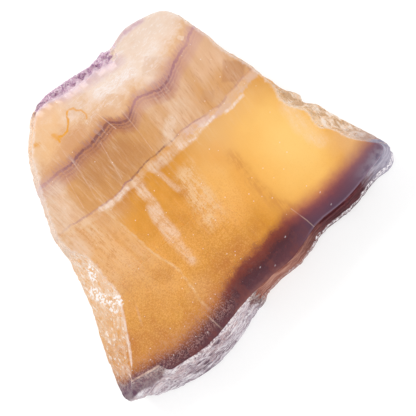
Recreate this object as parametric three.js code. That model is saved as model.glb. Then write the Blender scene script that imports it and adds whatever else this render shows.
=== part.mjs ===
// A sawn and polished slab of banded fluorite, lying on its sawn back.
//
// Frame: millimetres, +Z up. The sawn back rests on z = 0 and the polished face is level at
// z = slabThickness. +X runs along the dark purple base edge. +Y is the way the crystal grew,
// from the purple base to the druzy crust. The origin is under the middle of the slab.
//
// The stone is one solid, skinned in closed rings about the origin. From the top they cross the
// polished face, the broken lip between the face and the widest line, the flank from there down
// to the foot, and the sawn back.

import * as THREE from "three";

// ---- Driving dimensions, in millimetres ----

const slabThickness = 11;
const skirtHeight = 1.6; // the widest line of the ridged skirt, which spreads towards its foot

// How far the foot is undercut below the widest line. Below zero, it spreads.
const flankSetBack = 1.5;
const scarpSetBack = 1.3;
const skirtSetBack = 0.4;
const tipSetBack = 0.4;

const facetDepth = 1.1; // flat cleavage facets on the flanks
const ridgeDepth = 0.65; // long parting ridges on the skirt
const chipDepth = 0.9; // shell-shaped chips in the lip beside the clear corner
const druseDepth = 1.2; // lumps of the druzy crust
const terraceCount = 4; // cleavage steps down the cleaved flank
const terraceRise = 0.75; // the share of each step that is riser

// Each set of folds in a broken surface. count: folds all the way round the rim. lean: the height
// in which they drift by one fold. start: where the first lies. share: how deep, of the depth.
const facetFolds = [
  { count: 17, lean: 23, start: 0.1, share: 0.9 },
  { count: 29, lean: -8.4, start: 0.37, share: 0.7 },
  { count: 53, lean: 5.2, start: 0.71, share: 0.4 },
];
// Ridges run along the rim. spacing: millimetres from one to the next. drift: how many they climb
// all the way round. wavers and waver: how often and how far, in ridges, they wander.
const skirtRidges = [
  { spacing: 3.1, drift: 9, wavers: 31, waver: 0.22, share: 1 },
  { spacing: 1.7, drift: -7, wavers: 43, waver: 0.3, share: 0.6 },
];
// Lumps of the crust. lean: how far a row of lumps drifts from the face's edge to the rim.
const lumpRows = [
  { count: 61, lean: 1.3, start: 0 },
  { count: 37, lean: -1.6, start: 0.25 },
  { count: 89, lean: 2.2, start: 0 },
];
const chipCount = 38; // chips that would go all the way round
const terraceWobbles = 23; // bends in each step's edge, all the way round
const terraceWobble = 0.18; // how far they bend, in steps

// Rings in each zone and points in each ring, which set how finely the stone is faceted.
const faceRings = 3;
const lipRings = 9;
const flankRings = 9;
const backRings = 3;
const stations = 152;

// ---- Outlines, seen from above, counter-clockwise from the clipped corner ----

// The edge of the polished face.
const faceEdge = [
  // the clipped corner and the top of the skirt
  [-33.4, -28.2], [-30.2, -28.9], [-26.8, -29.6], [-25.6, -31.6], [-21.5, -32.4], [-18.6, -32.9],
  [-14.4, -33.0], [-9.7, -32.3], [-5.2, -31.6],
  // the scarp and the rim of the clear corner
  [0.1, -31.3], [7.7, -31.5], [11.2, -30.8], [16, -29.6], [23.6, -29.8], [30.7, -28.7], [35.4, -27.5],
  // the chipped lip
  [35.9, -26.3], [34.2, -23.8], [32.2, -20.6], [31.3, -17.6], [29.4, -14.6], [29.7, -10.2],
  [28.0, -7.4], [27.5, -4.6], [28.3, -1.6],
  // the smooth flank up to the apex
  [28, 2], [27.4, 6.4], [25.8, 12.1], [25.2, 17.4], [24.1, 23], [23.2, 27.1], [21.6, 29.3],
  [17.5, 31.2], [13.2, 32.2],
  // the notch and the druzy crust
  [9.9, 31.4], [8.2, 28.7], [6.1, 28.2], [2.6, 29.3], [-1.8, 29.9], [-6.7, 30.6], [-10.4, 32.0],
  [-13.6, 31.9],
  // the waterworn flank and the cleaved flank
  [-17, 28.8], [-20.6, 24.4], [-23.2, 18], [-25.6, 11.5], [-27, 6.2], [-26.6, 2.4], [-24.7, -1.6],
  [-24.6, -7.7], [-24.4, -12.3], [-26.4, -16], [-28.6, -21.2], [-31.2, -25.6],
];

// The widest line of the stone.
const widestLine = [
  // the clipped corner and the foot of the skirt
  [-36.4, -29.9], [-33, -31.5], [-29.6, -32.7], [-25.4, -34], [-20.4, -34.7], [-15, -34.5],
  [-10.4, -33.6], [-5.8, -32.2],
  // the scarp and the rim of the clear corner
  [0.7, -31.6], [7.7, -31.8], [11.6, -31.1], [16, -30], [23.5, -30.2], [29, -29.3], [36, -27.8],
  // the chipped lip
  [36.9, -26.7], [36.2, -23], [34.6, -18.3], [33.1, -13.1], [32.3, -9.9], [30.7, -7.7], [30.9, -5.4],
  [29.5, -2.5],
  // the smooth flank up to the apex
  [28.4, 2], [27.8, 6.4], [26.2, 12.1], [25.6, 17.4], [24.5, 23], [23.6, 27.1], [22, 29.7],
  [17.7, 31.7], [13.2, 32.8],
  // the notch and the druzy crust
  [10, 32.5], [7, 32.3], [5.8, 33], [2.8, 32.6], [-1.8, 33.4], [-6.2, 34.2], [-10.6, 34.7],
  [-14.2, 33.9],
  // the waterworn flank and the cleaved flank
  [-18.1, 30.2], [-21.4, 26.2], [-24.2, 20], [-26.6, 12.8], [-28.1, 8.1], [-28.7, 3.7],
  [-30.1, -3.6], [-31.6, -9.8], [-33.9, -15.6], [-35.9, -22], [-37.4, -28.8],
];

// Where each stretch of the rim lies: compass angles in degrees from +X, counter-clockwise.
const skirtArc = { from: 229, to: 262, blend: 7 };
const clearArc = { from: 268, to: 322, blend: 6 };
const chippedArc = { from: 324, to: 357, blend: 4 };
const druseArc = { from: 76, to: 113, blend: 4 };
const cleavedArc = { from: 176, to: 217, blend: 6 };
const tipArc = { from: 321, to: 325, blend: 3 };

// How far the polished face stands above the widest line.
const plainDrop = 1.4;
const clearDrop = 0.8;
const chippedDrop = 2.6;
const druseDrop = 1.9;
const cleavedDrop = 3.4;

// ---- Small helpers ----

const turn = Math.PI * 2;
const mix = (a, b, t) => a + (b - a) * t;
const smooth = (t) => THREE.MathUtils.smoothstep(t, 0, 1);

// A triangle wave from -1 to 1 with period 1. Sums of it fold a surface into flat facets.
const fold = (t) => 4 * Math.abs(t - Math.floor(t + 0.5)) - 1;

// 1 inside the arc and 0 outside it, easing over `blend` degrees beyond each end.
function within(arc, degrees) {
  const middle = (arc.from + arc.to) / 2;
  const away = Math.abs(THREE.MathUtils.euclideanModulo(degrees - middle + 180, 360) - 180);
  return 1 - smooth((away - (arc.to - arc.from) / 2) / arc.blend);
}

function closedCurve(outline) {
  const points = outline.map(([x, y]) => new THREE.Vector3(x, y, 0));
  return new THREE.CatmullRomCurve3(points, true, "centripetal");
}

// The outline's distance from the origin in a given direction, read between close points on it.
function reachOf(outline) {
  const rays = closedCurve(outline)
    .getSpacedPoints(stations * 5)
    .map((p) => ({ angle: Math.atan2(p.y, p.x), reach: Math.hypot(p.x, p.y) }))
    .sort((a, b) => a.angle - b.angle);
  rays.unshift({ ...rays.at(-1), angle: rays.at(-1).angle - turn });
  rays.push({ ...rays[1], angle: rays[1].angle + turn });
  return (angle) => {
    const next = rays.findIndex((ray) => ray.angle > angle);
    const [a, b] = [rays[next - 1], rays[next]];
    return mix(a.reach, b.reach, (angle - a.angle) / (b.angle - a.angle || 1));
  };
}

// ---- Relief of the broken surfaces, in millimetres ----

// around: share of the way round the rim. height: millimetres above the sawn back.
// across: share of the way from the face's edge to the widest line.

const facets = (around, height) =>
  (facetDepth / 2) *
  facetFolds
    .map((f) => f.share * fold(f.count * around + height / f.lean + f.start))
    .reduce((sum, depth) => sum + depth);

const ridges = (around, height) =>
  (ridgeDepth / 2) *
  skirtRidges
    .map((r) => {
      const wander = r.waver * fold(r.wavers * around);
      return r.share * fold(height / r.spacing + r.drift * around + wander);
    })
    .reduce((sum, depth) => sum + depth);

const chips = (around, across) =>
  -chipDepth * Math.abs(Math.sin(Math.PI * (chipCount * around + 0.3))) * Math.sin(Math.PI * across);

function lumps(around, across) {
  const [wide, wider, small] = lumpRows.map((r) => fold(r.count * around + r.lean * across + r.start));
  return (druseDepth / 2) * (wide * wider + small / 2);
}

// Flat treads and steep risers, from 0 at the face's edge to 1 at the outer edge.
function terraces(across, around) {
  const step = across * terraceCount + terraceWobble * fold(terraceWobbles * around);
  const tread = Math.floor(step);
  const riser = smooth((step - tread - (1 - terraceRise)) / terraceRise);
  return THREE.MathUtils.clamp((tread + riser) / terraceCount, 0, 1);
}

// ---- The stone ----

// What the rim is like at one station: how far it reaches, and how much of each stretch it is.
function describeRim() {
  const faceReach = reachOf(faceEdge);
  return closedCurve(widestLine)
    .getSpacedPoints(stations)
    .slice(0, stations)
    .map((p, i) => {
      const angle = Math.atan2(p.y, p.x);
      const degrees = THREE.MathUtils.radToDeg(angle);
      const widest = Math.hypot(p.x, p.y);
      const skirt = within(skirtArc, degrees);
      const clear = within(clearArc, degrees);
      const chipped = within(chippedArc, degrees);
      const druzy = within(druseArc, degrees);
      const cleaved = within(cleavedArc, degrees);
      const drop =
        plainDrop +
        (clearDrop - plainDrop) * clear +
        (chippedDrop - plainDrop) * chipped +
        (druseDrop - plainDrop) * druzy +
        (cleavedDrop - plainDrop) * cleaved;
      const setBack =
        flankSetBack +
        (scarpSetBack - flankSetBack) * clear +
        (skirtSetBack - flankSetBack) * skirt +
        (tipSetBack - flankSetBack) * within(tipArc, degrees);
      return {
        around: i / stations,
        ray: new THREE.Vector3(Math.cos(angle), Math.sin(angle), 0),
        face: Math.min(faceReach(angle), widest - 0.15),
        widest,
        foot: widest - setBack,
        widestHeight: mix(slabThickness - drop, skirtHeight, skirt),
        skirt,
        clear,
        chipped,
        druzy,
        cleaved,
      };
    });
}

function facePoint(rim, across) {
  return rim.ray.clone().multiplyScalar(rim.face * across).setZ(slabThickness);
}

// The lip, from the face's edge (across 0) to the widest line (across 1).
function lipPoint(rim, across) {
  const relief = Math.sin(Math.PI * across); // none where the lip meets its neighbours
  const slope = mix(across, terraces(across, rim.around), rim.cleaved);
  const height = mix(slabThickness, rim.widestHeight, slope);
  const lift =
    rim.chipped * chips(rim.around, across) + rim.druzy * lumps(rim.around, across) * relief;
  const push =
    rim.skirt * ridges(rim.around, height) * Math.min(1, 3 * relief) +
    rim.druzy * lumps(rim.around + 0.01, across) * relief * 0.6;
  const reach = mix(rim.face, rim.widest, mix(across, Math.sqrt(across), rim.skirt)) + push;
  return rim.ray.clone().multiplyScalar(reach).setZ(Math.min(height + lift, slabThickness));
}

// The flank, from the widest line (down 0) to the foot (down 1).
function flankPoint(rim, down) {
  const height = rim.widestHeight * (1 - down);
  const relief = Math.min(1, 4 * down * (1 - down) + 0.15 * down);
  const rough = mix(1, 0.25, Math.max(rim.clear, rim.skirt));
  const reach = mix(rim.widest, rim.foot, down ** 1.6) + relief * rough * facets(rim.around, height);
  return rim.ray.clone().multiplyScalar(reach).setZ(height);
}

function backPoint(rim, across) {
  const foot = flankPoint(rim, 1).length();
  return rim.ray.clone().multiplyScalar(foot * across);
}

// Every ring from the face to the back, without the two poles.
function ringsOf(rims) {
  const ring = (point, share) => rims.map((rim) => point(rim, share));
  const shares = (count) => Array.from({ length: count }, (_, i) => (i + 1) / count);
  return [
    ...shares(faceRings).map((share) => ring(facePoint, Math.sqrt(share))),
    ...shares(lipRings).map((share) => ring(lipPoint, share)),
    ...shares(flankRings).map((share) => ring(flankPoint, share)),
    ...shares(backRings)
      .slice(0, -1)
      .reverse()
      .map((share) => ring(backPoint, share)),
  ];
}

// Joins the rings into one closed surface, with a fan at each pole.
function closeRings(rings, top, bottom) {
  const points = [top, ...rings.flat(), bottom];
  const at = (row, column) => 1 + row * stations + (column % stations);
  const last = rings.length - 1;
  const triangles = [];
  for (let i = 0; i < stations; i += 1) {
    triangles.push(0, at(0, i), at(0, i + 1));
    triangles.push(points.length - 1, at(last, i + 1), at(last, i));
    for (let row = 0; row < last; row += 1) {
      triangles.push(at(row, i), at(row + 1, i), at(row + 1, i + 1));
      triangles.push(at(row, i), at(row + 1, i + 1), at(row, i + 1));
    }
  }
  return new THREE.BufferGeometry().setFromPoints(points).setIndex(triangles);
}

function stoneGeometry() {
  const rings = ringsOf(describeRim());
  const top = new THREE.Vector3(0, 0, slabThickness);
  const bottom = new THREE.Vector3(0, 0, 0);
  const geometry = closeRings(rings, top, bottom);
  geometry.computeVertexNormals();
  return geometry;
}

const amberFluorite = new THREE.MeshStandardMaterial({
  color: 0xe2a45c,
  roughness: 0.12,
  metalness: 0,
  flatShading: true,
});

const slab = new THREE.Mesh(stoneGeometry(), amberFluorite);
slab.name = "fluorite_slab";

const specimen = new THREE.Group();
specimen.add(slab);

export default specimen;
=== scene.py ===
import math
from functools import partial

import bpy
import numpy as np
from mathutils import Matrix, Vector


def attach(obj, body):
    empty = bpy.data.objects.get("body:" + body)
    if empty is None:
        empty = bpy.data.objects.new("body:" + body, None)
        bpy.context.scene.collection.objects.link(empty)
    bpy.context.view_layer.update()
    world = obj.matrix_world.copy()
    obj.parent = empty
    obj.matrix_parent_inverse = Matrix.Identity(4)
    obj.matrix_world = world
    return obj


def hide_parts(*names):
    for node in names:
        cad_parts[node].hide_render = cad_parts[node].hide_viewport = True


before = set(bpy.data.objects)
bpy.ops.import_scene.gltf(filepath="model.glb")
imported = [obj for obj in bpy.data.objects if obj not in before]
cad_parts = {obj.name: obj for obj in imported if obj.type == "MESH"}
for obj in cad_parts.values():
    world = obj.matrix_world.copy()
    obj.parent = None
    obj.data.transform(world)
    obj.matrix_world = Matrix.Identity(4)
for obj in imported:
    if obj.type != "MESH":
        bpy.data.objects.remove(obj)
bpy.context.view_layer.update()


# ---- Camera ----
# A camera on a stand looks down on the slab from over its purple base edge. It is turned in its
# mount, so that the base edge runs up to the right and the druzy crust lies at the upper left.

MM = 0.001

bearing = math.radians(14.0)
elevation = math.radians(69.0)
roll = math.radians(-55.6)
camera_distance = 236.9 * MM
target = np.array([1.5, -11.5, 11.0]) * MM
focal_length = 100.0
film_width = 36.0
nearest_seen = 10.0 * MM

camera_data = bpy.data.cameras.new("camera")
camera_data.lens = focal_length
camera_data.sensor_width = film_width
camera_data.clip_start = nearest_seen
camera = bpy.data.objects.new("camera", camera_data)
bpy.context.scene.collection.objects.link(camera)
bpy.context.scene.camera = camera

away = np.array([
    math.sin(bearing) * math.cos(elevation),
    -math.cos(bearing) * math.cos(elevation),
    math.sin(elevation),
])
level = np.array([math.cos(bearing), math.sin(bearing), 0.0])
upright = np.cross(away, level)
across_view = level * math.cos(roll) + upright * math.sin(roll)
up_view = upright * math.cos(roll) - level * math.sin(roll)
turned = Matrix(np.stack([across_view, up_view, away], axis=1).tolist()).to_4x4()
camera.matrix_world = Matrix.Translation(Vector(target + away * camera_distance)) @ turned


# ---- Table and light ----
# A white sheet, lit from below so that it glows a little, lies under the slab. A large softbox
# hangs over the druzy side, a weaker one stands opposite, and a white room fills the shadows.

sheet_half = 1.5
sheet_level = -0.05 * MM
sheet_grey = (0.42, 0.42, 0.42, 1.0)
sheet_roughness = 0.9
sheet_glow = 0.62
white = (1.0, 1.0, 1.0, 1.0)
room_brightness = 0.85

floor_mesh = bpy.data.meshes.new("floor")
corners = [(x * sheet_half, y * sheet_half, sheet_level) for x, y in ((-1, -1), (1, -1), (1, 1), (-1, 1))]
floor_mesh.from_pydata(corners, [], [(0, 1, 2, 3)])
floor = bpy.data.objects.new("floor", floor_mesh)
bpy.context.scene.collection.objects.link(floor)
paper = bpy.data.materials.new("white_paper")
paper.use_nodes = True
paper_shader = paper.node_tree.nodes["Principled BSDF"]
paper_shader.inputs["Base Color"].default_value = sheet_grey
paper_shader.inputs["Roughness"].default_value = sheet_roughness
paper_shader.inputs["Specular IOR Level"].default_value = 0.0
paper_shader.inputs["Emission Color"].default_value = white
paper_shader.inputs["Emission Strength"].default_value = sheet_glow
floor_mesh.materials.append(paper)


def softbox(name, place, size, watts):
    """A square area light at `place`, in metres, that faces the slab."""
    data = bpy.data.lights.new(name, "AREA")
    data.shape = "SQUARE"
    data.size = size
    data.energy = watts
    light = bpy.data.objects.new(name, data)
    light.location = place
    light.rotation_euler = (-Vector(place)).to_track_quat("-Z", "Y").to_euler()
    bpy.context.scene.collection.objects.link(light)


softbox("key_softbox", place=(-0.18, 0.62, 0.60), size=0.45, watts=4.0)
softbox("fill_softbox", place=(0.35, -0.70, 0.42), size=0.5, watts=2.0)

room = bpy.data.worlds.new("white_room")
room.use_nodes = True
room.node_tree.nodes["Background"].inputs["Color"].default_value = white
room.node_tree.nodes["Background"].inputs["Strength"].default_value = room_brightness
bpy.context.scene.world = room
bpy.context.scene.view_settings.view_transform = "Standard"


# ---- The stone's shape ----
# One piece of fluorite, sawn through and polished on its upper face. The rest of its rim is as
# it broke or grew: cleaved, chipped, ridged or druzy. It is skinned in closed rings about the
# origin: across the face, over the lip, down the flank and back across the sawn back.

slab_thickness = 11.0
skirt_height = 1.6

# The edge of the polished face, and the widest line of the stone, in millimetres.
face_edge = [
    (-33.4, -28.2), (-30.2, -28.9), (-26.8, -29.6), (-25.6, -31.6), (-21.5, -32.4), (-18.6, -32.9),
    (-14.4, -33.0), (-9.7, -32.3), (-5.2, -31.6),
    (0.1, -31.3), (7.7, -31.5), (11.2, -30.8), (16, -29.6), (23.6, -29.8), (30.7, -28.7), (35.4, -27.5),
    (35.9, -26.3), (34.2, -23.8), (32.2, -20.6), (31.3, -17.6), (29.4, -14.6), (29.7, -10.2),
    (28.0, -7.4), (27.5, -4.6), (28.3, -1.6),
    (28, 2), (27.4, 6.4), (25.8, 12.1), (25.2, 17.4), (24.1, 23), (23.2, 27.1), (21.6, 29.3),
    (17.5, 31.2), (13.2, 32.2),
    (9.9, 31.4), (8.2, 28.7), (6.1, 28.2), (2.6, 29.3), (-1.8, 29.9), (-6.7, 30.6), (-10.4, 32.0),
    (-13.6, 31.9),
    (-17, 28.8), (-20.6, 24.4), (-23.2, 18), (-25.6, 11.5), (-27, 6.2), (-26.6, 2.4), (-24.7, -1.6),
    (-24.6, -7.7), (-24.4, -12.3), (-26.4, -16), (-28.6, -21.2), (-31.2, -25.6),
]
widest_line = [
    (-36.4, -29.9), (-33, -31.5), (-29.6, -32.7), (-25.4, -34), (-20.4, -34.7), (-15, -34.5),
    (-10.4, -33.6), (-5.8, -32.2),
    (0.7, -31.6), (7.7, -31.8), (11.6, -31.1), (16, -30), (23.5, -30.2), (29, -29.3), (36, -27.8),
    (36.9, -26.7), (36.2, -23), (34.6, -18.3), (33.1, -13.1), (32.3, -9.9), (30.7, -7.7), (30.9, -5.4),
    (29.5, -2.5),
    (28.4, 2), (27.8, 6.4), (26.2, 12.1), (25.6, 17.4), (24.5, 23), (23.6, 27.1), (22, 29.7),
    (17.7, 31.7), (13.2, 32.8),
    (10, 32.5), (7, 32.3), (5.8, 33), (2.8, 32.6), (-1.8, 33.4), (-6.2, 34.2), (-10.6, 34.7),
    (-14.2, 33.9),
    (-18.1, 30.2), (-21.4, 26.2), (-24.2, 20), (-26.6, 12.8), (-28.1, 8.1), (-28.7, 3.7),
    (-30.1, -3.6), (-31.6, -9.8), (-33.9, -15.6), (-35.9, -22), (-37.4, -28.8),
]

# Each stretch of the rim: where it starts and ends in degrees, over how many degrees it eases
# off, how far the face stands above its widest line, and how far its foot is undercut.
stretches = {
    "skirt": (229, 262, 7, 1.4, 0.4),
    "clear": (268, 322, 6, 0.8, 1.3),
    "chipped": (324, 357, 4, 2.6, 1.5),
    "druzy": (76, 113, 4, 1.9, 1.5),
    "cleaved": (176, 217, 6, 3.4, 1.5),
    "tip": (321, 325, 3, 1.4, 0.4),
}
plain_drop = 1.4
plain_set_back = 1.5

stations = 720
face_rings = 12
face_ring_crowding = 0.7
lip_rings = 30
flank_rings = 34
back_rings = 6


def smooth(t):
    """Eases from 0 to 1: three t squared less two t cubed, with t held between 0 and 1."""
    t = np.clip(t, 0.0, 1.0)
    return t * t * (3.0 - 2.0 * t)


def mix(a, b, t):
    """The value a share t of the way from a to b."""
    return a + (b - a) * t


def fold(t):
    """A triangle wave from -1 to 1 with period 1. Sums of it fold a surface into flat facets."""
    return 4.0 * np.abs(t - np.floor(t + 0.5)) - 1.0


def closed_curve(outline, per_side=40):
    """A closed centripetal spline through the outline's points, with per_side points between each
    pair. Each side is a cubic whose end slopes come from the chords to the points around it,
    weighted by the square roots of the chords' lengths."""
    p1 = np.array(outline, dtype=float)
    p0, p2, p3 = np.roll(p1, 1, 0), np.roll(p1, -1, 0), np.roll(p1, -2, 0)
    chords = ((p0, p1), (p1, p2), (p2, p3))
    d01, d12, d23 = (np.sqrt(np.linalg.norm(b - a, axis=1))[:, None] for a, b in chords)
    slope1 = d12 * ((p1 - p0) / d01 - (p2 - p0) / (d01 + d12)) + (p2 - p1)
    slope2 = (p2 - p1) - d12 * ((p3 - p1) / (d12 + d23) - (p3 - p2) / d23)
    t = np.linspace(0.0, 1.0, per_side, endpoint=False)[None, :, None]
    a, b, c, d = (v[:, None, :] for v in (p1, p2, slope1, slope2))
    curve = (
        (2 * t**3 - 3 * t**2 + 1) * a + (3 * t**2 - 2 * t**3) * b
        + (t**3 - 2 * t**2 + t) * c + (t**3 - t**2) * d
    )
    return curve.reshape(-1, 2)


def equally_spaced(curve, count):
    """`count` points at equal distances along a closed curve, from its first point."""
    loop = np.vstack([curve, curve[:1]])
    along = np.concatenate([[0.0], np.cumsum(np.linalg.norm(np.diff(loop, axis=0), axis=1))])
    wanted = np.arange(count) / count * along[-1]
    return np.stack([np.interp(wanted, along, loop[:, k]) for k in (0, 1)], axis=1), along[-1]


rim_points, rim_length = equally_spaced(closed_curve(widest_line), stations)
around = np.arange(stations) / stations
angle = np.arctan2(rim_points[:, 1], rim_points[:, 0])
ray = np.stack([np.cos(angle), np.sin(angle)], axis=1)
widest = np.hypot(rim_points[:, 0], rim_points[:, 1])

# Short nicks all round the rim, straight from one random depth to the next.
random = np.random.default_rng(7)
nick_count = 330
nick_depth = 0.30
face_nick_share = 0.4
face_nick_lag = 3
narrowest_lip = 0.15
nick_places = np.sort(random.uniform(0.0, 1.0, nick_count))
nicks = nick_depth * np.interp(
    around, nick_places, random.uniform(0.0, 1.0, nick_count) ** 1.5, period=1.0,
)
widest = widest - nicks

face_curve = closed_curve(face_edge)
face_reach = np.interp(
    angle,
    np.arctan2(face_curve[:, 1], face_curve[:, 0]),
    np.hypot(face_curve[:, 0], face_curve[:, 1]),
    period=2 * math.pi,
)
face_reach = np.minimum(
    face_reach - face_nick_share * np.roll(nicks, face_nick_lag), widest - narrowest_lip,
)


def beyond(start, end):
    """How many degrees each station lies beyond a stretch's nearer end, and less than 0 within."""
    from_middle = np.abs((np.degrees(angle) - (start + end) / 2 + 180) % 360 - 180)
    return from_middle - (end - start) / 2


zone = {}
for name, (start, end, ease, _, _) in stretches.items():
    zone[name] = 1.0 - smooth(beyond(start, end) / ease)
drop = plain_drop + sum((stretches[n][3] - plain_drop) * zone[n] for n in zone)
set_back = plain_set_back + sum((stretches[n][4] - plain_set_back) * zone[n] for n in zone)
foot = widest - set_back
widest_height = mix(slab_thickness - drop, skirt_height, zone["skirt"])

facet_depth = 1.1
facet_folds = [(17, 23.0, 0.10, 0.9), (29, -8.4, 0.37, 0.7), (53, 5.2, 0.71, 0.4)]
ridge_depth = 0.45
skirt_ridges = [(3.1, 9, 31, 0.22, 1.0), (1.7, -7, 43, 0.30, 0.6), (0.9, 11, 61, 0.35, 0.45)]
chip_depth = 0.6
chip_count = 38
chip_start = 0.3
druse_depth = 1.2
lump_rows = [(61, 1.3, 0.0), (37, -1.6, 0.25), (89, 2.2, 0.0)]
side_lump_share = 0.6
side_lump_shift = 0.01
terrace_share = 0.35
terrace_count = 4
terrace_rise = 0.75
terrace_wobbles = 23
terrace_wobble = 0.18


def facets(height):
    """The flanks' flat cleavage facets: three sets of folds, which lean round the rim as they
    rise. Each is the fold of (count times the way round, plus height over lean, plus start)."""
    depth = sum(s * fold(c * around + height / lean + start) for c, lean, start, s in facet_folds)
    return facet_depth / 2 * depth


def ridges(height):
    """The skirt's long ridges: folds of height over spacing, which climb slowly round the rim and
    wander a little."""
    depth = sum(
        share * fold(height / spacing + drift * around + waver * fold(wavers * around))
        for spacing, drift, wavers, waver, share in skirt_ridges
    )
    return ridge_depth / 2 * depth


def chips(across):
    """Shell-shaped hollows in the lip: a row of half sine waves, deepest midway across."""
    row = np.abs(np.sin(math.pi * (chip_count * around + chip_start)))
    return -chip_depth * row * np.sin(math.pi * across)


def lumps(across, shift=0.0):
    """Lumps of the crust: the product of two leaning folds, plus half of a finer one."""
    wide, wider, small = (fold(c * (around + shift) + lean * across + s) for c, lean, s in lump_rows)
    return druse_depth / 2 * (wide * wider + small / 2)


def terraces(across):
    """Cleavage steps from 0 at the face's edge to 1 at the widest line: a tread for each step,
    then an eased riser. The steps' edges bend in and out round the rim."""
    step = across * terrace_count + terrace_wobble * fold(terrace_wobbles * around)
    tread = np.floor(step)
    riser = smooth((step - tread - (1 - terrace_rise)) / terrace_rise)
    return np.clip((tread + riser) / terrace_count, 0.0, 1.0)


# Fine breakage that the light catches: flat splinters, each with its own tilt, and on the crust
# small crystals that stand on a corner. Both are spread over the unrolled rim in squares.
splinter_size = 1.7
splinter_depth = 0.20
splinter_tilt = 4.8
grit_size = 0.75
grit_depth = 0.07
crystal_size = 0.8
crystal_height = 0.22
crystal_slope = 0.9
shortest_crystal = 0.35


def nearest(along, down, size, rows=48):
    """Scatters one seed at random in each square of the unrolled rim, and finds each point's
    nearest seed among its own square and the eight around it. Returns the offset from it along
    and down, in mm, and three random numbers of its own."""
    columns = round(rim_length / size)
    table = random.uniform(0.0, 1.0, (rows, columns, 5))
    rows_above = 4.0
    u = along / rim_length * columns
    v = down / size + rows_above
    best = np.full(np.broadcast(u, v).shape, np.inf)
    found = [np.zeros_like(best) for _ in range(5)]
    for du in (-1, 0, 1):
        for dv in (-1, 0, 1):
            column = np.floor(u) + du + 0 * v
            row = np.floor(v) + dv + 0 * u
            seed = table[row.astype(int) % rows, column.astype(int) % columns]
            off_u = u - column - seed[..., 0]
            off_v = v - row - seed[..., 1]
            squared = off_u**2 + off_v**2
            closer = squared < best
            best = np.where(closer, squared, best)
            values = (off_u * size, off_v * size, seed[..., 2], seed[..., 3], seed[..., 4])
            found = [np.where(closer, value, old) for value, old in zip(values, found)]
    return found


def splinters(along, down, size, depth):
    """Flat splinters: each point takes the plane of its nearest seed, which is the seed's own
    standing plus its two tilts times the offset from it."""
    u, v, stand, tilt_u, tilt_v = nearest(along, down, size)
    tilt = splinter_tilt * depth / size
    return depth * (stand - 0.5) + tilt * ((tilt_u - 0.5) * u + (tilt_v - 0.5) * v)


def crystals(along, down):
    """Small crystals: each point takes the four-sided pyramid over its nearest seed, which is the
    seed's own height less the two offsets from it."""
    u, v, stand, _, _ = nearest(along, down, crystal_size)
    tip = mix(shortest_crystal, 1.0, stand)
    pyramid = tip - crystal_slope * (np.abs(u) + np.abs(v)) / crystal_size
    return crystal_height * np.maximum(pyramid, 0.0)


# The unrolled rim, in mm. Along the skirt it is drawn out, so that the splinters there are long.
skirt_stretch = 0.18
unrolled = np.cumsum(mix(1.0, skirt_stretch, zone["skirt"]))
unrolled = unrolled / unrolled[-1] * rim_length

# How rough the lip is where it merely broke, and how much more or less so in each stretch. The
# flank has less relief near its foot, which is undercut in a curve, and where it cleaved smooth.
plain_roughness = 0.45
more_roughness = {"chipped": 0.1, "skirt": -0.2, "cleaved": -0.3, "clear": -0.35}
smooth_flank_share = 0.2
flank_splinter_share = 0.5
flank_grit_share = 0.1
foot_relief = 0.15
undercut_bend = 1.6


def rows_of(count, start=0.0, end=1.0):
    """A column of `count` shares that ends on `end` and leaves `start` to the rows before it."""
    return np.linspace(start, end, count + 1)[1:, None]


def face_rows(share):
    """The level polished face, from the middle (share 0) to its edge (share 1)."""
    return face_reach * share, np.full((len(share), stations), slab_thickness)


def lip_rows(across):
    """The lip, from the face's edge (across 0) to the widest line (across 1)."""
    relief = np.sin(math.pi * across)
    slope = mix(across, terraces(across), terrace_share * zone["cleaved"])
    height = mix(slab_thickness, widest_height, slope)
    down = across * np.maximum(widest - face_reach, slab_thickness - widest_height)
    crust = crystals(unrolled, down)
    lift = zone["chipped"] * chips(across) + zone["druzy"] * (lumps(across) + crust) * relief
    push = zone["skirt"] * ridges(height) * np.minimum(1.0, 3 * relief)
    side_lumps = lumps(across, side_lump_shift) * side_lump_share
    push = push + zone["druzy"] * (side_lumps + crust) * relief
    roughness = sum((more * zone[name] for name, more in more_roughness.items()), plain_roughness)
    broken = splinters(unrolled, down, splinter_size, splinter_depth)
    broken = broken + splinters(unrolled, down, grit_size, grit_depth)
    push = push + roughness * broken * np.sqrt(relief)
    lift = lift - roughness * np.abs(broken) * np.sqrt(relief)
    outward = mix(across, np.sqrt(across), zone["skirt"])
    return mix(face_reach, widest, outward) + push, np.minimum(height + lift, slab_thickness)


def flank_rows(share):
    """The flank, from the widest line (share 0) to the foot (share 1)."""
    height = widest_height * (1 - share)
    down = slab_thickness - height
    relief = np.minimum(1.0, 4 * share * (1 - share) + foot_relief * share)
    rough = mix(1.0, smooth_flank_share, np.maximum(zone["clear"], zone["skirt"]))
    broken = splinters(unrolled, down, splinter_size, splinter_depth)
    broken = broken + flank_grit_share * splinters(unrolled, down, grit_size, grit_depth)
    bumps = relief * rough * (facets(height) + flank_splinter_share * broken)
    return mix(widest, foot, share**undercut_bend) + bumps, height


def back_rows(share, last_reach):
    """The level sawn back, from the middle (share 0) to the flank's last ring (share 1)."""
    return last_reach * share, np.zeros((len(share), stations))


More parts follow.
